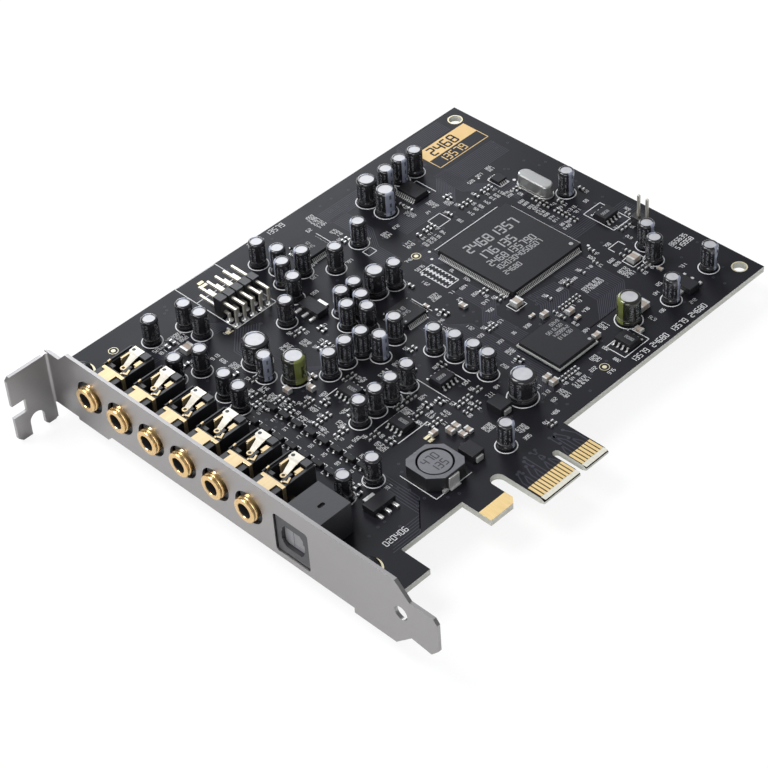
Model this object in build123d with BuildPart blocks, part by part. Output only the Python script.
# Full-height sound card with a one-lane edge connector, six jacks and an optical port.
# Frame: X runs from the bracket to the far end, -Y to the edge contacts, +Z is the component side.
# Origin: key notch centre, bottom edge of the contacts, component face of the board.
import os
from math import atan2, cos, degrees, hypot, pi, sin

from build123d import *

os.makedirs("parts", exist_ok=True)

# Board
BOARD_T = 1.57
BOARD_LEFT = -56.40
BOARD_RIGHT = 78.40
BOARD_TOP = 111.15
SHOULDER_Y = 12.70
FOOT_Y = 4.40
FOOT_RIGHT = -42.30
CORNER_R = 0.8
CONTACT_LEFT = -12.35
CONTACT_RIGHT = 8.15
KEY_W = 1.90
KEY_TOP = 8.45
CHAMFER_H = 1.2
CHAMFER_D = 0.5
HOOK_LEFT = -24.00
HOOK_RIGHT = -15.90
HOOK_BOTTOM = 4.40
HOOK_CUT = 1.3
CORNER_HOLE_D = 3.20
CORNER_HOLES = [(74.60, 107.30), (74.60, 16.90)]

# Gold contacts
PAD_PITCH = 1.00
PAD_W = 0.70
PAD_BOTTOM = 1.30
PAD_L = 3.80
PAD_T = 0.05
FIRST_PADS = 11
SECOND_PADS = 7
FIRST_PAD_X = -11.50
SECOND_PAD_X = 1.50
HOOK_GOLD_TOP = 7.95

# Bracket
STEEL = 0.86
BRACKET_OUT = -58.01
BRACKET_IN = BRACKET_OUT + STEEL
FLANGE_TOP = 107.10
FLANGE_REACH = 11.43
FLANGE_Z_TOP = 10.00
FLANGE_Z_LOW = -9.00
BRACKET_L = 120.02
BRACKET_Z_TOP = 13.60
BRACKET_W = 18.42
RELIEF_Z = -3.40
SLOT_W = 4.00
SLOT_X = -63.55
SLOT_ARCH_Z = -3.60
NOTCH_DEPTH = 3.70
NOTCH_W = 3.60
TONGUE_LOW_Z = -0.45
TONGUE_W = 10.19
TONGUE_HOLE_D = 3.50
TONGUE_HOLE = (-2.90, 5.00)
BEND_IN_R = 0.70
FOLD_Z_TOP = 10.70
FOLD_Z_LOW = -4.10
SLOPE_TOP_Y = 102.00
SLOPE_LOW_Y = 99.10
TAPER_Y = -1.60
TAPER_LOW_Y = -5.50
TONGUE_Z_TOP = 9.75
STEP_TOP_Y = 98.10
STEP_LOW_Y = 88.00
STEP_R = 1.40
PRONG_X = -58.20
WINDOW_R = 0.90

# Bracket tabs and their screws
TAB_X_END = -46.60
TAB_W = 6.60
TAB_COLLAR_D = 6.00
SCREW_X = -50.60
SCREW_YS = [105.40, 14.10]
SCREW_D = 3.00
SCREW_CLEAR = 0.20
SCREW_HEAD_D = 5.60
SCREW_HEAD_H = 1.90
SCREW_REACH = 1.00

# Jacks
JACK_COUNT = 6
JACK_PITCH = 10.25
JACK_FIRST_Y = 92.30
JACK_AXIS_Z = 5.20
JACK_BORE_D = 3.60
JACK_W = 7.00
JACK_H = 7.90
JACK_FRONT = -57.00
JACK_BACK = -41.90
JACK_WELL_FRONT = -50.10
JACK_WALL = 0.80
JACK_FLOOR_Z = 3.10
JACK_WELL_BACK = -42.70
CHANNEL = 3.80
BUSHING_D = 6.20
BUSHING_FRONT = -59.45
BRACKET_HOLE_D = 8.20
PLATE_T = 0.30
GROUND_W = 3.70
GROUND_BACK = -50.60
LEG_W = 0.80
LEG_T = 0.60
LEG_HOLE = 1.00
SPRING_TIP_X = -48.90
SPRING_HALF = 3.00
SPRING_T = 0.25
SPRING_ROOT_W = 3.20
SPRING_TIP_W = 1.30
CONTACT_W = 2.40
CONTACT_T = 0.50
CONTACT_CLEAR = 0.25

# Optical port
PORT_Y = 28.40
PORT_W = 9.60
PORT_TOP = 8.60
PORT_FRONT = -57.60
PORT_BACK = -45.20
PORT_LIP_Z = -1.60
PORT_CLEAR = 0.30
PORT_FACE = -56.90
LIP_BACK = -56.45
APERTURE_W = 6.20
APERTURE_H = 6.00
APERTURE_Z = 0.40
APERTURE_CUT = 0.90
KEYWAY_DEPTH = 0.35
KEYWAY_LOW_Z = 2.00
KEYWAY_HIGH_Z = 4.40
CAVITY_W = 7.00
CAVITY_TOP = 7.85
CAVITY_BACK = -48.90
FLAP_T = 0.60
FLAP_GAP = 0.12
FLAP_AXIS_X = -56.00
FLAP_AXIS_Z = 6.95
BARREL_D = 1.30
COIL_ROOM = 1.00
TRUNNION_D = 1.10
TRUNNION_CLEAR = 0.10
EMITTER_D = 2.50
EMITTER_SINK = 0.30
EMITTER_L = 2.00

# Large chip with leads on four sides
CHIP_X = 44.20
CHIP_Y = 61.10
CHIP_SIDE = 24.00
CHIP_STANDOFF = 0.10
CHIP_T = 1.40
CHIP_SPAN = 26.00
LEADS_PER_SIDE = 44
LEAD_PITCH = 0.50
LEAD_W = 0.22
LEAD_H = 0.70

# Ball-grid chip
BRIDGE_X = 26.20
BRIDGE_Y = 30.40
BRIDGE_SIDE = 13.00
BRIDGE_GAP = 0.35
BRIDGE_BASE_T = 0.40
BRIDGE_CAP_SIDE = 12.40
BRIDGE_CAP_T = 0.80

# Smaller chips, each as x, y, turned a quarter or not
CONVERTERS = [(13.80, 97.30), (11.40, 63.40)]
CONVERTER_SIDE = 7.00
CONVERTER_SPAN = 9.00
CONVERTER_ROW = 5.72
SMALL_CHIP_T = 1.45
TWO_ROW_CHIP = (45.50, 94.10)
TWO_ROW_W = 4.40
TWO_ROW_L = 6.50
TWO_ROW_SPAN = 6.40
AMPLIFIERS = [
    (-15.50, 54.30, 0),
    (-15.50, 38.50, 0),
    (0.80, 41.80, 90),
    (69.00, 52.60, 90),
    (37.30, 19.30, 0),
]
AMPLIFIER_W = 3.90
AMPLIFIER_L = 4.90
AMPLIFIER_SPAN = 6.00
AMPLIFIER_ROW = 4.22
FOOT_T = 0.20
MEMORY_CHIP = (62.80, 81.70)
MEMORY_SIDE = 3.00
MEMORY_T = 0.95
MEMORY_SPAN = 4.90
MEMORY_PITCH = 0.65

# Regulators with three leads and a tab: x, y, turn
REGULATORS = [(-36.20, 25.00, 0), (-1.10, 80.90, 270), (60.80, 22.20, 90)]
REGULATOR_W = 6.50
REGULATOR_D = 3.50
REGULATOR_T = 1.60
REGULATOR_SPAN = 7.00
REGULATOR_PITCH = 2.30

# Diodes: x, y, turn
DIODES = [(-12.40, 20.80, 90), (2.40, 26.20, 90)]
DIODE_L = 4.40
DIODE_W = 3.70
DIODE_T = 2.10
DIODE_SPAN = 5.40

# Power inductor
COIL_X = -21.60
COIL_Y = 22.50
COIL_SIDE = 10.30
COIL_CUT = 2.85
COIL_SMALL_CUT = 1.45
COIL_T = 3.90
COIL_END_W = 3.00
COIL_END_T = 0.45
COIL_END_H = 3.30
CORE_D = 7.50
CORE_GAP = 0.42
CORE_DEPTH = 2.00

# Crystal
CRYSTAL_X = 66.00
CRYSTAL_Y = 72.40
CRYSTAL_W = 4.40
CRYSTAL_L = 10.80
CRYSTAL_H = 3.60
CRYSTAL_RIM = 0.35
CRYSTAL_RIM_T = 0.45

# Pin headers
PITCH = 2.54
HEADER_X = -11.00
HEADER_COLUMNS = 5
HEADER_FACE_Y = 97.10
HEADER_BASE_Z = 0.25
PIN_SIDE = 0.64
PIN_REACH = 6.00
LOW_PIN_Z = 1.80
HEADER_LOW_Y = 93.20
HEADER_HIGH_Y = 90.65
JUMPER_X = 71.80
JUMPER_Y = 43.65
JUMPER_PIN_TOP = 8.60
STUB = 1.30

# Electrolytic capacitors, standing
CAN_H = 7.00
SMALL_D = 4.00
MEDIUM_D = 5.00
GREEN_D = 5.60
LARGE_D = 6.30
SMALL_CANS = [
    (-32.9, 101.1), (-24.1, 99.3), (-23.8, 94.2), (-38.0, 86.9), (-32.2, 84.8), (-34.2, 74.6),
    (-34.8, 69.2), (-24.2, 72.4), (2.2, 103.0), (3.8, 97.6), (1.2, 93.2), (7.0, 92.7), (-0.9, 87.4),
    (-8.0, 82.5), (13.0, 87.7), (23.3, 90.4), (2.8, 75.3), (7.0, 75.3), (17.8, 73.1), (0.3, 70.9),
    (4.9, 70.9), (2.8, 66.9), (-14.1, 62.1), (-8.9, 62.3), (-4.2, 61.9), (-2.4, 57.8), (4.1, 59.6),
    (7.2, 50.3), (42.2, 99.8), (47.4, 100.2), (52.2, 99.7), (69.8, 65.9), (-20.8, 46.0),
    (-39.4, 32.1), (-31.6, 31.2), (-15.8, 46.0), (-11.0, 46.0), (-5.5, 46.4), (8.6, 45.2),
    (9.0, 39.9), (9.0, 35.5), (-5.3, 17.2), (66.6, 38.3), (63.7, 33.5), (55.2, 21.3), (69.8, 22.1),
]
MEDIUM_CANS = [(12.9, 74.5), (36.1, 100.2), (36.2, 94.0)]
GREEN_CANS = [(-20.1, 67.1), (43.5, 24.1)]
LARGE_CANS = [(-22.0, 77.6), (8.5, 24.8)]
TRIMMED_CANS = [(69.8, 65.9), (66.6, 38.3), (63.7, 33.5), (69.8, 22.1), (55.2, 21.3)]
CAN_PIN_PITCH = 1.50

# Small parts on the board
MUTE_XS = [-36.20, -30.50]
MUTE_COUNT = 8
MUTE_FIRST_Y = 63.90
MUTE_PITCH = 4.07
MUTE_SIZE = (1.30, 2.90, 1.00)
CERAMICS = [
    (-10.2, 29.0, 90), (-8.4, 29.0, 90), (16.2, 24.6, 0), (16.2, 22.6, 0), (36.6, 35.6, 0),
    (-13.2, 31.2, 0), (34.0, 25.6, 0), (31.9, 39.3, 0), (-24.4, 65.2, 90), (-20.4, 61.8, 90),
]
CERAMIC_L = 2.00
CERAMIC_W = 1.25
CERAMIC_T = 1.20


def write(builder, label):
    builder.part.label = label
    export_step(builder.part, "parts/" + label + ".step")


def jack_y(index):
    return JACK_FIRST_Y - index * JACK_PITCH


JACK_PLACES = [jack_y(index) for index in range(JACK_COUNT)]
TIP_Y = FLANGE_TOP - BRACKET_L
BRACKET_Z_LOW = BRACKET_Z_TOP - BRACKET_W
KEY_R = KEY_W / 2
SLOT_END_Y = SHOULDER_Y + 0.5 - (CONTACT_LEFT - HOOK_RIGHT) / 2
BOARD_SLOT_R = (CONTACT_LEFT - HOOK_RIGHT) / 2
FLANGE_X = BRACKET_OUT - FLANGE_REACH
HEADER_XS = [HEADER_X + (index - 2) * PITCH for index in range(HEADER_COLUMNS)]
HEADER_HOLES = [(x, y) for x in HEADER_XS for y in (HEADER_LOW_Y, HEADER_HIGH_Y)]
JUMPER_HOLES = [(JUMPER_X, JUMPER_Y - PITCH / 2), (JUMPER_X, JUMPER_Y + PITCH / 2)]
JACK_LEGS = [
    (x, y + dy)
    for y in JACK_PLACES
    for x, dy in (
        (JACK_FRONT + 3.0, 0),
        (JACK_FRONT + 9.5, -(JACK_W / 2 - 0.9)),
        (JACK_BACK - 1.3, JACK_W / 2 - 1.3),
    )
]
PORT_LEGS = [(-47.6, PORT_Y - 2.54), (-47.6, PORT_Y), (-47.6, PORT_Y + 2.54)]
WINDOW_W = PORT_W + 2 * PORT_CLEAR
WINDOW_TOP = PORT_TOP + PORT_CLEAR
WINDOW_LOW = PORT_LIP_Z - PORT_CLEAR
FLAP_LOW_Z = APERTURE_Z + 0.15
FLAP_TOP_Z = FLAP_AXIS_Z
FLAP_MID_Z = (FLAP_LOW_Z + FLAP_TOP_Z) / 2
EMITTER_Z = APERTURE_Z + APERTURE_H / 2
TRUNNION_SPAN = CAVITY_W + 1.6
CHIP_ROW = (LEADS_PER_SIDE - 1) * LEAD_PITCH + LEAD_W

# Circuit board
with BuildPart() as board:
    with BuildSketch(Plane.XY.offset(-BOARD_T)):
        with BuildLine():
            Polyline(
                (BOARD_LEFT, BOARD_TOP),
                (BOARD_LEFT, FOOT_Y),
                (FOOT_RIGHT, FOOT_Y),
                (FOOT_RIGHT, SHOULDER_Y),
                (HOOK_LEFT, SHOULDER_Y),
                (HOOK_LEFT, HOOK_BOTTOM),
                (HOOK_RIGHT - HOOK_CUT, HOOK_BOTTOM),
                (HOOK_RIGHT, HOOK_BOTTOM + HOOK_CUT),
                (HOOK_RIGHT, SLOT_END_Y),
            )
            ThreePointArc(
                (HOOK_RIGHT, SLOT_END_Y),
                ((HOOK_RIGHT + CONTACT_LEFT) / 2, SLOT_END_Y + BOARD_SLOT_R),
                (CONTACT_LEFT, SLOT_END_Y),
            )
            Polyline(
                (CONTACT_LEFT, SLOT_END_Y),
                (CONTACT_LEFT, 0),
                (-KEY_R, 0),
                (-KEY_R, KEY_TOP - KEY_R),
            )
            ThreePointArc((-KEY_R, KEY_TOP - KEY_R), (0, KEY_TOP), (KEY_R, KEY_TOP - KEY_R))
            Polyline(
                (KEY_R, KEY_TOP - KEY_R),
                (KEY_R, 0),
                (CONTACT_RIGHT, 0),
                (CONTACT_RIGHT, SHOULDER_Y),
                (BOARD_RIGHT, SHOULDER_Y),
                (BOARD_RIGHT, BOARD_TOP),
                (BOARD_LEFT, BOARD_TOP),
            )
        make_face()
        with Locations(*CORNER_HOLES):
            Circle(CORNER_HOLE_D / 2, mode=Mode.SUBTRACT)
        with Locations(*[(SCREW_X, y) for y in SCREW_YS]):
            Circle(SCREW_D / 2 + SCREW_CLEAR, mode=Mode.SUBTRACT)
        with Locations(*JACK_LEGS, *HEADER_HOLES, *JUMPER_HOLES, *PORT_LEGS):
            Rectangle(LEG_HOLE, LEG_HOLE, mode=Mode.SUBTRACT)
    extrude(amount=BOARD_T)
    # The contact edge is bevelled on both faces.
    with BuildSketch(Plane.YZ.offset(CONTACT_LEFT)):
        with BuildLine():
            Polyline((0, 0), (CHAMFER_H, 0), (0, -CHAMFER_D), (0, 0))
        make_face()
        with BuildLine():
            Polyline(
                (0, -BOARD_T),
                (CHAMFER_H, -BOARD_T),
                (0, -BOARD_T + CHAMFER_D),
                (0, -BOARD_T),
            )
        make_face()
    extrude(amount=CONTACT_RIGHT - CONTACT_LEFT, mode=Mode.SUBTRACT)
write(board, "circuit_board")


# Gold contacts, one pad per lead, on each face
PAD_PLACES = [
    (first + index * PAD_PITCH, PAD_BOTTOM + PAD_L / 2)
    for first, count in ((FIRST_PAD_X, FIRST_PADS), (SECOND_PAD_X, SECOND_PADS))
    for index in range(count)
    if first + index * PAD_PITCH < CONTACT_RIGHT
]


def contact_row(label, z):
    with BuildPart() as pads:
        with BuildSketch(Plane.XY.offset(z)):
            with Locations(*PAD_PLACES):
                Rectangle(PAD_W, PAD_L)
        extrude(amount=PAD_T)
    write(pads, label)


contact_row("edge_contacts_front", 0)
contact_row("edge_contacts_back", -BOARD_T - PAD_T)

# Gold plating of the hook tab, on both faces
with BuildPart() as hook_gold:
    for z in (0, -BOARD_T - PAD_T):
        with BuildSketch(Plane.XY.offset(z)):
            with BuildLine():
                Polyline(
                    (HOOK_LEFT, HOOK_BOTTOM),
                    (HOOK_RIGHT - HOOK_CUT, HOOK_BOTTOM),
                    (HOOK_RIGHT, HOOK_BOTTOM + HOOK_CUT),
                    (HOOK_RIGHT, HOOK_GOLD_TOP),
                    (HOOK_LEFT, HOOK_GOLD_TOP),
                    (HOOK_LEFT, HOOK_BOTTOM),
                )
            make_face()
        extrude(amount=PAD_T)
write(hook_gold, "hook_tab_plating")

# Steel bracket: flat plate first, then the flange and the two tabs folded from it
with BuildPart() as bracket:
    with BuildSketch(Plane.YZ.offset(BRACKET_OUT)):
        with BuildLine():
            Polyline(
                (FLANGE_TOP, FOLD_Z_LOW),
                (FLANGE_TOP, FOLD_Z_TOP),
                (SLOPE_TOP_Y, FOLD_Z_TOP),
                (SLOPE_LOW_Y, BRACKET_Z_TOP),
                (TAPER_Y, BRACKET_Z_TOP),
                (TAPER_LOW_Y, TONGUE_Z_TOP),
                (TIP_Y + 1.0, TONGUE_Z_TOP),
                (TIP_Y, TONGUE_Z_TOP - 1.2),
                (TIP_Y, TONGUE_LOW_Z + 1.6),
                (TIP_Y + 2.0, TONGUE_LOW_Z - 0.7),
                (TAPER_LOW_Y, TONGUE_LOW_Z),
                (TAPER_Y + 0.6, BRACKET_Z_LOW),
                (SCREW_YS[1] - TAB_W / 2, BRACKET_Z_LOW),
                (SCREW_YS[1] - TAB_W / 2, RELIEF_Z),
                (STEP_LOW_Y - STEP_R, RELIEF_Z),
                (STEP_LOW_Y, BRACKET_Z_LOW),
                (STEP_TOP_Y, BRACKET_Z_LOW),
                (STEP_TOP_Y, FOLD_Z_LOW),
                (FLANGE_TOP, FOLD_Z_LOW),
            )
        make_face()
        with Locations(*[(y, JACK_AXIS_Z) for y in JACK_PLACES]):
            Circle(BRACKET_HOLE_D / 2, mode=Mode.SUBTRACT)
        with Locations(TONGUE_HOLE):
            Circle(TONGUE_HOLE_D / 2, mode=Mode.SUBTRACT)
        with Locations((PORT_Y, (WINDOW_TOP + WINDOW_LOW) / 2)):
            RectangleRounded(WINDOW_W, WINDOW_TOP - WINDOW_LOW, WINDOW_R, mode=Mode.SUBTRACT)
    extrude(amount=STEEL)
    with BuildSketch(Plane.XZ.offset(-FLANGE_TOP)):
        with BuildLine():
            Polyline(
                (BRACKET_OUT + STEEL, FOLD_Z_LOW),
                (BRACKET_OUT + STEEL, FOLD_Z_TOP),
                (BRACKET_OUT - 1.2, FLANGE_Z_TOP),
                (FLANGE_X + 0.8, FLANGE_Z_TOP),
                (FLANGE_X, FLANGE_Z_TOP - 0.8),
                (FLANGE_X, NOTCH_W / 2),
                (FLANGE_X + NOTCH_DEPTH, NOTCH_W / 2),
                (FLANGE_X + NOTCH_DEPTH, -NOTCH_W / 2),
                (FLANGE_X, -NOTCH_W / 2),
                (FLANGE_X, FLANGE_Z_LOW + 1.2),
                (FLANGE_X + 1.2, FLANGE_Z_LOW),
                (SLOT_X - SLOT_W / 2, FLANGE_Z_LOW),
                (SLOT_X - SLOT_W / 2, SLOT_ARCH_Z - SLOT_W / 2),
            )
            ThreePointArc(
                (SLOT_X - SLOT_W / 2, SLOT_ARCH_Z - SLOT_W / 2),
                (SLOT_X, SLOT_ARCH_Z),
                (SLOT_X + SLOT_W / 2, SLOT_ARCH_Z - SLOT_W / 2),
            )
            Polyline(
                (SLOT_X + SLOT_W / 2, SLOT_ARCH_Z - SLOT_W / 2),
                (SLOT_X + SLOT_W / 2, FLANGE_Z_LOW + 0.8),
                (SLOT_X + SLOT_W / 2 + 0.8, FLANGE_Z_LOW),
                (PRONG_X - 0.6, FLANGE_Z_LOW),
                (PRONG_X, FLANGE_Z_LOW + 0.6),
                (PRONG_X, FOLD_Z_LOW),
                (BRACKET_OUT + STEEL, FOLD_Z_LOW),
            )
        make_face()
    extrude(amount=STEEL)
    fold_edges = bracket.edges().filter_by(Axis.Z)
    outer_fold = fold_edges.sort_by_distance((BRACKET_OUT + STEEL, FLANGE_TOP, 3))[0]
    inner_fold = fold_edges.sort_by_distance((BRACKET_OUT, FLANGE_TOP - STEEL, 3))[0]
    fillet(outer_fold, BEND_IN_R + STEEL)
    fillet(inner_fold, BEND_IN_R)
    for y, z, collar in ((SCREW_YS[0], FOLD_Z_LOW, 1), (SCREW_YS[1], RELIEF_Z, 1)):
        with BuildSketch(Plane.XY.offset(z)):
            with Locations(((BRACKET_IN + TAB_X_END) / 2 - STEEL / 4, y)):
                Rectangle(TAB_X_END - BRACKET_IN + STEEL / 2, TAB_W)
        extrude(amount=STEEL)
        with BuildSketch(Plane.XY.offset(z)):
            with Locations((SCREW_X, y)):
                Circle(TAB_COLLAR_D / 2)
        extrude(amount=-BOARD_T - z)
        with BuildSketch(Plane.XY.offset(z)):
            with Locations((SCREW_X, y)):
                Circle(SCREW_D / 2)
        extrude(amount=-BOARD_T - z, mode=Mode.SUBTRACT)
write(bracket, "io_bracket")

# Screws that hold the board on the bracket tabs; each stem is a press fit in its collar
with BuildPart() as screws:
    for y in SCREW_YS:
        with BuildSketch(Plane.XY):
            with Locations((SCREW_X, y)):
                Circle(SCREW_HEAD_D / 2)
        extrude(amount=SCREW_HEAD_H)
        with BuildSketch(Plane.XY):
            with Locations((SCREW_X, y)):
                Circle(SCREW_D / 2)
        extrude(amount=-BOARD_T - SCREW_REACH)
    rims = screws.edges().group_by(Axis.Z)[-1]
    chamfer(rims, 0.7)
    for y in SCREW_YS:
        with BuildSketch(Plane.XY.offset(SCREW_HEAD_H)):
            with Locations((SCREW_X, y)):
                Rectangle(3.2, 0.6)
                Rectangle(0.6, 3.2)
        extrude(amount=-0.8, mode=Mode.SUBTRACT)
write(screws, "bracket_screws")

# Jacks
with BuildPart() as jack_housings:
    for y in JACK_PLACES:
        with Locations(Pos((JACK_FRONT + JACK_BACK) / 2, y, JACK_H / 2)):
            Box(JACK_BACK - JACK_FRONT, JACK_W, JACK_H)
        with Locations(Pos((JACK_FRONT + JACK_WELL_FRONT) / 2, y, JACK_AXIS_Z)):
            Box(JACK_WELL_FRONT - JACK_FRONT, CHANNEL, CHANNEL, mode=Mode.SUBTRACT)
        with Locations(Pos((JACK_WELL_FRONT + JACK_WELL_BACK) / 2, y, (JACK_FLOOR_Z + JACK_H) / 2)):
            Box(
                JACK_WELL_BACK - JACK_WELL_FRONT,
                JACK_W - 2 * JACK_WALL,
                JACK_H - JACK_FLOOR_Z,
                mode=Mode.SUBTRACT,
            )
write(jack_housings, "jack_housings")

with BuildPart() as bushings:
    with BuildSketch(Plane.YZ.offset(BUSHING_FRONT)):
        with Locations(*[(y, JACK_AXIS_Z) for y in JACK_PLACES]):
            Circle(BUSHING_D / 2)
            Circle(JACK_BORE_D / 2, mode=Mode.SUBTRACT)
    extrude(amount=JACK_FRONT - BUSHING_FRONT)
write(bushings, "jack_bushings")

# Gold ground plates: a top plate with two arms, one folded down the side of the housing
with BuildPart() as ground_plates:
    for y in JACK_PLACES:
        with BuildSketch(Plane.XY.offset(JACK_H)):
            with BuildLine():
                Polyline(
                    (JACK_FRONT, y - GROUND_W / 2),
                    (GROUND_BACK - 0.9, y - GROUND_W / 2),
                    (GROUND_BACK - 0.9, y - JACK_W / 2 - PLATE_T),
                    (GROUND_BACK, y - JACK_W / 2 - PLATE_T),
                    (GROUND_BACK, y + JACK_W / 2 - 0.4),
                    (GROUND_BACK - 0.9, y + JACK_W / 2 - 0.4),
                    (GROUND_BACK - 0.9, y + GROUND_W / 2),
                    (JACK_FRONT, y + GROUND_W / 2),
                    (JACK_FRONT, y - GROUND_W / 2),
                )
            make_face()
        extrude(amount=PLATE_T)
        with Locations(Pos(GROUND_BACK - 0.45, y - JACK_W / 2 - PLATE_T / 2, JACK_H / 2)):
            Box(0.9, PLATE_T, JACK_H)
write(ground_plates, "jack_ground_plates")

# Tip springs: a root plate on the back wall and a blade that slopes down over the well
well_side = JACK_W / 2 - JACK_WALL
with BuildPart() as tip_springs:
    for y in JACK_PLACES:
        with BuildSketch(Plane.XZ.offset(-y - SPRING_HALF)):
            with BuildLine():
                Polyline(
                    (JACK_BACK, JACK_H),
                    (JACK_WELL_BACK - 0.9, JACK_H),
                    (SPRING_TIP_X + 0.5, JACK_AXIS_Z + 2.0),
                    (SPRING_TIP_X, JACK_AXIS_Z + 2.35),
                    (SPRING_TIP_X, JACK_AXIS_Z + 2.35 + SPRING_T),
                    (SPRING_TIP_X + 0.5, JACK_AXIS_Z + 2.0 + SPRING_T),
                    (JACK_WELL_BACK - 0.9, JACK_H + SPRING_T),
                    (JACK_BACK, JACK_H + SPRING_T),
                    (JACK_BACK, JACK_H),
                )
            make_face()
        extrude(amount=2 * SPRING_HALF)
    with BuildSketch(Plane.XY.offset(JACK_AXIS_Z)):
        for y in JACK_PLACES:
            with BuildLine():
                Polyline(
                    (JACK_BACK, y + well_side),
                    (JACK_WELL_BACK - 1.4, y + well_side),
                    (JACK_WELL_BACK - 1.9, y + well_side - 1.0),
                    (SPRING_TIP_X, y - 1.2 + SPRING_TIP_W),
                    (SPRING_TIP_X, y - 1.2),
                    (JACK_WELL_BACK - 1.9, y + well_side - SPRING_ROOT_W),
                    (JACK_BACK, y + well_side - SPRING_ROOT_W),
                    (JACK_BACK, y + well_side),
                )
            make_face()
    extrude(amount=JACK_H, mode=Mode.INTERSECT)
write(tip_springs, "jack_tip_springs")

# Side contacts stand in the well, clear of the plug's bore
with BuildPart() as side_contacts:
    for y in JACK_PLACES:
        for x, side in ((JACK_WELL_BACK - 2.8, 1), (JACK_WELL_BACK - 2.6, -1)):
            across = side * (well_side - CONTACT_CLEAR - CONTACT_T / 2)
            with Locations(Pos(x, y + across, (JACK_FLOOR_Z + JACK_H - 0.3) / 2)):
                Box(CONTACT_W, CONTACT_T, JACK_H - 0.3 - JACK_FLOOR_Z)
write(side_contacts, "jack_side_contacts")

with BuildPart() as jack_legs:
    for x, y in JACK_LEGS:
        with Locations(Pos(x, y, -(BOARD_T + STUB) / 2)):
            Box(LEG_W, LEG_T, BOARD_T + STUB)
write(jack_legs, "jack_legs")

# Optical port housing with its aperture, the flap's chamber and the light source's bore
with BuildPart() as port:
    with BuildSketch(Plane.XZ.offset(-PORT_Y - PORT_W / 2)):
        with BuildLine():
            Polyline(
                (PORT_FRONT, PORT_LIP_Z),
                (PORT_FRONT, PORT_TOP),
                (PORT_BACK, PORT_TOP),
                (PORT_BACK, 0),
                (LIP_BACK, 0),
                (LIP_BACK, PORT_LIP_Z),
                (PORT_FRONT, PORT_LIP_Z),
            )
        make_face()
    extrude(amount=PORT_W)
    with BuildSketch(Plane.YZ.offset(PORT_FRONT)):
        with BuildLine():
            half = APERTURE_W / 2
            Polyline(
                (PORT_Y - half + APERTURE_CUT, APERTURE_Z),
                (PORT_Y + half - APERTURE_CUT, APERTURE_Z),
                (PORT_Y + half, APERTURE_Z + APERTURE_CUT),
                (PORT_Y + half, APERTURE_Z + APERTURE_H - APERTURE_CUT),
                (PORT_Y + half - APERTURE_CUT, APERTURE_Z + APERTURE_H),
                (PORT_Y - half + APERTURE_CUT, APERTURE_Z + APERTURE_H),
                (PORT_Y - half, APERTURE_Z + APERTURE_H - APERTURE_CUT),
                (PORT_Y - half, APERTURE_Z + APERTURE_CUT),
                (PORT_Y - half + APERTURE_CUT, APERTURE_Z),
            )
        make_face()
        # A keyway on each side takes the plug's ribs.
        with Locations((PORT_Y, (KEYWAY_LOW_Z + KEYWAY_HIGH_Z) / 2)):
            Rectangle(APERTURE_W + 2 * KEYWAY_DEPTH, KEYWAY_HIGH_Z - KEYWAY_LOW_Z)
    extrude(amount=PORT_FACE - PORT_FRONT, mode=Mode.SUBTRACT)
    with Locations(Pos((PORT_FACE + CAVITY_BACK) / 2, PORT_Y, (APERTURE_Z + CAVITY_TOP) / 2)):
        Box(CAVITY_BACK - PORT_FACE, CAVITY_W, CAVITY_TOP - APERTURE_Z, mode=Mode.SUBTRACT)
    with Locations(Pos(FLAP_AXIS_X, PORT_Y, FLAP_AXIS_Z) * Rot(90, 0, 0)):
        Cylinder(TRUNNION_D / 2 + TRUNNION_CLEAR, TRUNNION_SPAN + 2 * TRUNNION_CLEAR, mode=Mode.SUBTRACT)
    with BuildSketch(Plane.YZ.offset(CAVITY_BACK)):
        with Locations((PORT_Y, EMITTER_Z)):
            Circle(EMITTER_D / 2)
    extrude(amount=EMITTER_L + EMITTER_SINK, mode=Mode.SUBTRACT)
    # Moulding recess in the top.
    with BuildSketch(Plane.XY.offset(PORT_TOP)):
        with Locations((-49.8, PORT_Y - 0.8)):
            SlotOverall(1.9, 1.0)
    extrude(amount=-0.6, mode=Mode.SUBTRACT)
write(port, "optical_port_housing")

with BuildPart() as flap:
    with BuildSketch(Plane.XZ.offset(-PORT_Y + CAVITY_W / 2 - FLAP_GAP - COIL_ROOM)):
        with Locations((FLAP_AXIS_X, FLAP_AXIS_Z)):
            Circle(BARREL_D / 2)
    extrude(amount=-(CAVITY_W - 2 * FLAP_GAP - COIL_ROOM))
    with BuildSketch(Plane.XZ.offset(-PORT_Y - CAVITY_W / 2 + FLAP_GAP)):
        with Locations((FLAP_AXIS_X - BARREL_D / 2 + FLAP_T / 2, FLAP_MID_Z)):
            Rectangle(FLAP_T, FLAP_TOP_Z - FLAP_LOW_Z)
    extrude(amount=CAVITY_W - 2 * FLAP_GAP)
    # Room for the spring beside the barrel.
    with Locations(Pos(FLAP_AXIS_X, PORT_Y - CAVITY_W / 2 + FLAP_GAP + COIL_ROOM / 2, FLAP_AXIS_Z)):
        Box(2 * COIL_ROOM, COIL_ROOM, 2 * COIL_ROOM, mode=Mode.SUBTRACT)
    with Locations(Pos(FLAP_AXIS_X, PORT_Y, FLAP_AXIS_Z) * Rot(90, 0, 0)):
        Cylinder(TRUNNION_D / 2, TRUNNION_SPAN)
write(flap, "optical_port_flap")

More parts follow.
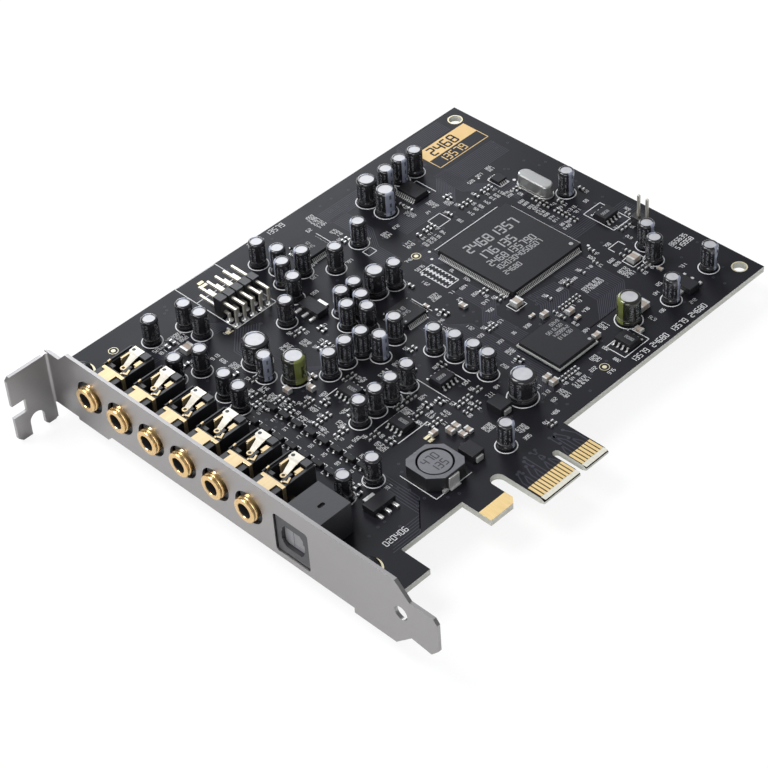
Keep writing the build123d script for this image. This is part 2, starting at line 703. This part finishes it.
# The flap's torsion spring is wound round the bare end of its pivot
with BuildPart() as flap_spring:
    with BuildSketch(Plane.XZ.offset(-PORT_Y + CAVITY_W / 2 - FLAP_GAP)):
        with Locations((FLAP_AXIS_X, FLAP_AXIS_Z)):
            Circle(TRUNNION_D / 2 + 0.22)
            Circle(TRUNNION_D / 2, mode=Mode.SUBTRACT)
    extrude(amount=-(COIL_ROOM - 0.1))
write(flap_spring, "optical_port_spring")

with BuildPart() as emitter:
    with BuildSketch(Plane.YZ.offset(CAVITY_BACK + EMITTER_SINK)):
        with Locations((PORT_Y, EMITTER_Z)):
            Circle(EMITTER_D / 2)
    extrude(amount=EMITTER_L)
write(emitter, "optical_light_source")

with BuildPart() as port_pins:
    for x, y in PORT_LEGS:
        with Locations(Pos(x, y, -(BOARD_T + STUB) / 2)):
            Box(LEG_T, LEG_T, BOARD_T + STUB)
write(port_pins, "optical_port_pins")


# Chips
def flat_chip(name, x, y, side, low, height):
    with BuildPart() as chip:
        with Locations(Pos(x, y, low + height / 2)):
            Box(side, side, height)
    write(chip, name)


def lead_rows(name, centres, side, span, row):
    """One flat strip per side stands for a row of fine leads."""
    reach = (span - side) / 2
    with BuildPart() as rows:
        for x, y in centres:
            for turn in (0, 90, 180, 270):
                with Locations(Pos(x, y, LEAD_H / 2) * Rot(0, 0, turn) * Pos((side + reach) / 2, 0, 0)):
                    Box(reach, row, LEAD_H)
    write(rows, name)


flat_chip("audio_processor", CHIP_X, CHIP_Y, CHIP_SIDE, CHIP_STANDOFF, CHIP_T)
lead_rows("audio_processor_leads", [(CHIP_X, CHIP_Y)], CHIP_SIDE, CHIP_SPAN, CHIP_ROW)
flat_chip("bus_bridge_base", BRIDGE_X, BRIDGE_Y, BRIDGE_SIDE, 0, BRIDGE_GAP + BRIDGE_BASE_T)
flat_chip(
    "bus_bridge_cap", BRIDGE_X, BRIDGE_Y, BRIDGE_CAP_SIDE, BRIDGE_GAP + BRIDGE_BASE_T, BRIDGE_CAP_T
)
with BuildPart() as converters:
    for x, y in CONVERTERS:
        with Locations(Pos(x, y, CHIP_STANDOFF + SMALL_CHIP_T / 2)):
            Box(CONVERTER_SIDE, CONVERTER_SIDE, SMALL_CHIP_T)
write(converters, "converter_chips")
lead_rows("converter_leads", CONVERTERS, CONVERTER_SIDE, CONVERTER_SPAN, CONVERTER_ROW)


def turned(x, y, turn):
    return Pos(x, y, 0) * Rot(0, 0, turn)


with BuildPart() as amplifiers:
    for x, y, turn in AMPLIFIERS:
        with Locations(turned(x, y, turn) * Pos(0, 0, CHIP_STANDOFF + SMALL_CHIP_T / 2)):
            Box(AMPLIFIER_W, AMPLIFIER_L, SMALL_CHIP_T)
write(amplifiers, "amplifier_chips")
with BuildPart() as amplifier_leads:
    for x, y, turn in AMPLIFIERS:
        for side in (-1, 1):
            for row in (-1.5, -0.5, 0.5, 1.5):
                place = Pos(side * (AMPLIFIER_SPAN + AMPLIFIER_W) / 4, row * PITCH / 2, FOOT_T)
                with Locations(turned(x, y, turn) * place):
                    Box((AMPLIFIER_SPAN - AMPLIFIER_W) / 2, 0.42, 2 * FOOT_T)
write(amplifier_leads, "amplifier_leads")

with BuildPart() as memory:
    with Locations(Pos(*MEMORY_CHIP, CHIP_STANDOFF + MEMORY_T / 2)):
        Box(MEMORY_SIDE, MEMORY_SIDE, MEMORY_T)
write(memory, "memory_chip")
with BuildPart() as memory_leads:
    reach = (MEMORY_SPAN - MEMORY_SIDE) / 2
    for side in (-1, 1):
        for row in (-1.5, -0.5, 0.5, 1.5):
            place = Pos(row * MEMORY_PITCH, side * (MEMORY_SIDE + reach) / 2, FOOT_T)
            with Locations(Pos(*MEMORY_CHIP, 0) * place):
                Box(0.30, reach, 2 * FOOT_T)
write(memory_leads, "memory_chip_leads")

with BuildPart() as two_row:
    with Locations(Pos(*TWO_ROW_CHIP, CHIP_STANDOFF + SMALL_CHIP_T / 2)):
        Box(TWO_ROW_W, TWO_ROW_L, SMALL_CHIP_T)
write(two_row, "two_row_chip")
with BuildPart() as two_row_leads:
    for side in (-1, 1):
        place = Pos(side * (TWO_ROW_SPAN + TWO_ROW_W) / 4, 0, LEAD_H / 2)
        with Locations(Pos(*TWO_ROW_CHIP, 0) * place):
            Box((TWO_ROW_SPAN - TWO_ROW_W) / 2, TWO_ROW_L - 0.6, LEAD_H)
write(two_row_leads, "two_row_chip_leads")

# Regulators: body, three leads on one side and a wide tab on the other
with BuildPart() as regulators:
    for x, y, turn in REGULATORS:
        with Locations(turned(x, y, turn) * Pos(0, 0, CHIP_STANDOFF + REGULATOR_T / 2)):
            Box(REGULATOR_W, REGULATOR_D, REGULATOR_T)
write(regulators, "regulators")
with BuildPart() as regulator_leads:
    for x, y, turn in REGULATORS:
        reach = (REGULATOR_SPAN - REGULATOR_D) / 2
        for across, width in ((-REGULATOR_PITCH, 0.75), (0, 0.75), (REGULATOR_PITCH, 0.75)):
            with Locations(turned(x, y, turn) * Pos(across, -(REGULATOR_D + reach) / 2, 0.25)):
                Box(width, reach, 0.5)
        with Locations(turned(x, y, turn) * Pos(0, (REGULATOR_D + reach) / 2, 0.25)):
            Box(3.0, reach, 0.5)
write(regulator_leads, "regulator_leads")

with BuildPart() as diodes:
    for x, y, turn in DIODES:
        with Locations(turned(x, y, turn) * Pos(0, 0, DIODE_T / 2)):
            Box(DIODE_L, DIODE_W, DIODE_T)
write(diodes, "power_diodes")
with BuildPart() as diode_ends:
    for x, y, turn in DIODES:
        reach = (DIODE_SPAN - DIODE_L) / 2
        for side in (-1, 1):
            with Locations(turned(x, y, turn) * Pos(side * (DIODE_L + reach) / 2, 0, 0.7)):
                Box(reach, 2.0, 1.4)
write(diode_ends, "power_diode_leads")

# Power inductor: eight-sided base, round core, terminals on two sides
with BuildPart() as coil_base:
    with BuildSketch(Plane.XY):
        with Locations((COIL_X, COIL_Y)):
            Rectangle(COIL_SIDE, COIL_SIDE)
    extrude(amount=COIL_T)
    # Two facing corners are cut more than the other two.
    corners = coil_base.edges().filter_by(Axis.Z).sort_by(lambda edge: edge.center().X + edge.center().Y)
    chamfer([corners[0], corners[-1]], COIL_CUT)
    corners = coil_base.edges().filter_by(Axis.Z).sort_by(lambda edge: edge.center().X - edge.center().Y)
    chamfer([corners[0], corners[-1]], COIL_SMALL_CUT)
    with BuildSketch(Plane.XY.offset(COIL_T)):
        with Locations((COIL_X, COIL_Y)):
            Circle(CORE_D / 2 + CORE_GAP)
    extrude(amount=-CORE_DEPTH, mode=Mode.SUBTRACT)
write(coil_base, "inductor_shield")
with BuildPart() as core:
    with BuildSketch(Plane.XY.offset(COIL_T - CORE_DEPTH)):
        with Locations((COIL_X, COIL_Y)):
            Circle(CORE_D / 2)
    extrude(amount=CORE_DEPTH - 0.1)
write(core, "inductor_core")
with BuildPart() as coil_ends:
    for side in (-1, 1):
        away = COIL_Y + side * (COIL_SIDE + COIL_END_T) / 2
        with Locations(Pos(COIL_X, away, COIL_END_H / 2)):
            Box(COIL_END_W, COIL_END_T, COIL_END_H)
write(coil_ends, "inductor_terminals")

# Crystal: welded rim and pressed can
with BuildPart() as crystal:
    with BuildSketch(Plane.XY):
        with Locations((CRYSTAL_X, CRYSTAL_Y)):
            SlotOverall(CRYSTAL_L, CRYSTAL_W, rotation=90)
    extrude(amount=CRYSTAL_RIM_T)
write(crystal, "crystal_base")
with BuildPart() as crystal_can:
    with BuildSketch(Plane.XY.offset(CRYSTAL_RIM_T)):
        with Locations((CRYSTAL_X, CRYSTAL_Y)):
            SlotOverall(CRYSTAL_L - 2 * CRYSTAL_RIM, CRYSTAL_W - 2 * CRYSTAL_RIM, rotation=90)
    extrude(amount=CRYSTAL_H - CRYSTAL_RIM_T)
write(crystal_can, "crystal_can")

# Right-angle pin header, two rows of five
with BuildPart() as header:
    high = LOW_PIN_Z + PITCH
    with Locations(Pos(HEADER_X, HEADER_FACE_Y - PITCH / 2, (HEADER_BASE_Z + 2 * PITCH) / 2 + 0.15)):
        Box(HEADER_COLUMNS * PITCH, PITCH, 2 * PITCH + HEADER_BASE_Z - 0.2)
    for z in (LOW_PIN_Z, high):
        with BuildSketch(Plane.XZ.offset(-HEADER_FACE_Y)):
            with Locations(*[(x, z) for x in HEADER_XS]):
                Rectangle(PIN_SIDE, PIN_SIDE)
        extrude(amount=PITCH, mode=Mode.SUBTRACT)
write(header, "pin_header_base")
with BuildPart() as header_pins:
    for z, hole_y in ((LOW_PIN_Z, HEADER_LOW_Y), (LOW_PIN_Z + PITCH, HEADER_HIGH_Y)):
        for x in HEADER_XS:
            with BuildSketch(Plane.YZ.offset(x - PIN_SIDE / 2)):
                with BuildLine():
                    Polyline(
                        (hole_y - PIN_SIDE / 2, -BOARD_T - STUB),
                        (hole_y - PIN_SIDE / 2, z + PIN_SIDE / 2),
                        (HEADER_FACE_Y + PIN_REACH, z + PIN_SIDE / 2),
                        (HEADER_FACE_Y + PIN_REACH, z - PIN_SIDE / 2),
                        (hole_y + PIN_SIDE / 2, z - PIN_SIDE / 2),
                        (hole_y + PIN_SIDE / 2, -BOARD_T - STUB),
                        (hole_y - PIN_SIDE / 2, -BOARD_T - STUB),
                    )
                make_face()
            extrude(amount=PIN_SIDE)
write(header_pins, "pin_header_pins")

with BuildPart() as jumper:
    with BuildSketch(Plane.XY):
        with Locations((JUMPER_X, JUMPER_Y)):
            Rectangle(PITCH, 2 * PITCH)
        with Locations(*JUMPER_HOLES):
            Rectangle(PIN_SIDE, PIN_SIDE, mode=Mode.SUBTRACT)
    extrude(amount=PITCH)
write(jumper, "jumper_base")
with BuildPart() as jumper_pins:
    with BuildSketch(Plane.XY.offset(-BOARD_T - STUB)):
        with Locations(*JUMPER_HOLES):
            Rectangle(PIN_SIDE, PIN_SIDE)
    extrude(amount=BOARD_T + STUB + JUMPER_PIN_TOP)
write(jumper_pins, "jumper_pins")


# Electrolytic capacitors: sealed cans, so each one is a single solid
def cans(name, places, diameter, height):
    with BuildPart() as group:
        with BuildSketch(Plane.XY):
            with Locations(*places):
                Circle(diameter / 2)
        extrude(amount=height)
    write(group, name)


cans("capacitors_small", SMALL_CANS, SMALL_D, CAN_H)
cans("capacitors_medium", MEDIUM_CANS, MEDIUM_D, CAN_H)
cans("capacitors_green_stripe", GREEN_CANS, GREEN_D, CAN_H)
cans("capacitors_large", LARGE_CANS, LARGE_D, CAN_H)

with BuildPart() as ceramics:
    for x, y, turn in CERAMICS:
        with Locations(turned(x, y, turn) * Pos(0, 0, CERAMIC_T / 2)):
            Box(CERAMIC_L, CERAMIC_W, CERAMIC_T)
write(ceramics, "ceramic_capacitors")

with BuildPart() as mutes:
    for x in MUTE_XS:
        for index in range(MUTE_COUNT):
            place = Pos(x, MUTE_FIRST_Y - index * MUTE_PITCH, MUTE_SIZE[2] / 2)
            with Locations(place):
                Box(*MUTE_SIZE)
write(mutes, "mute_transistors")
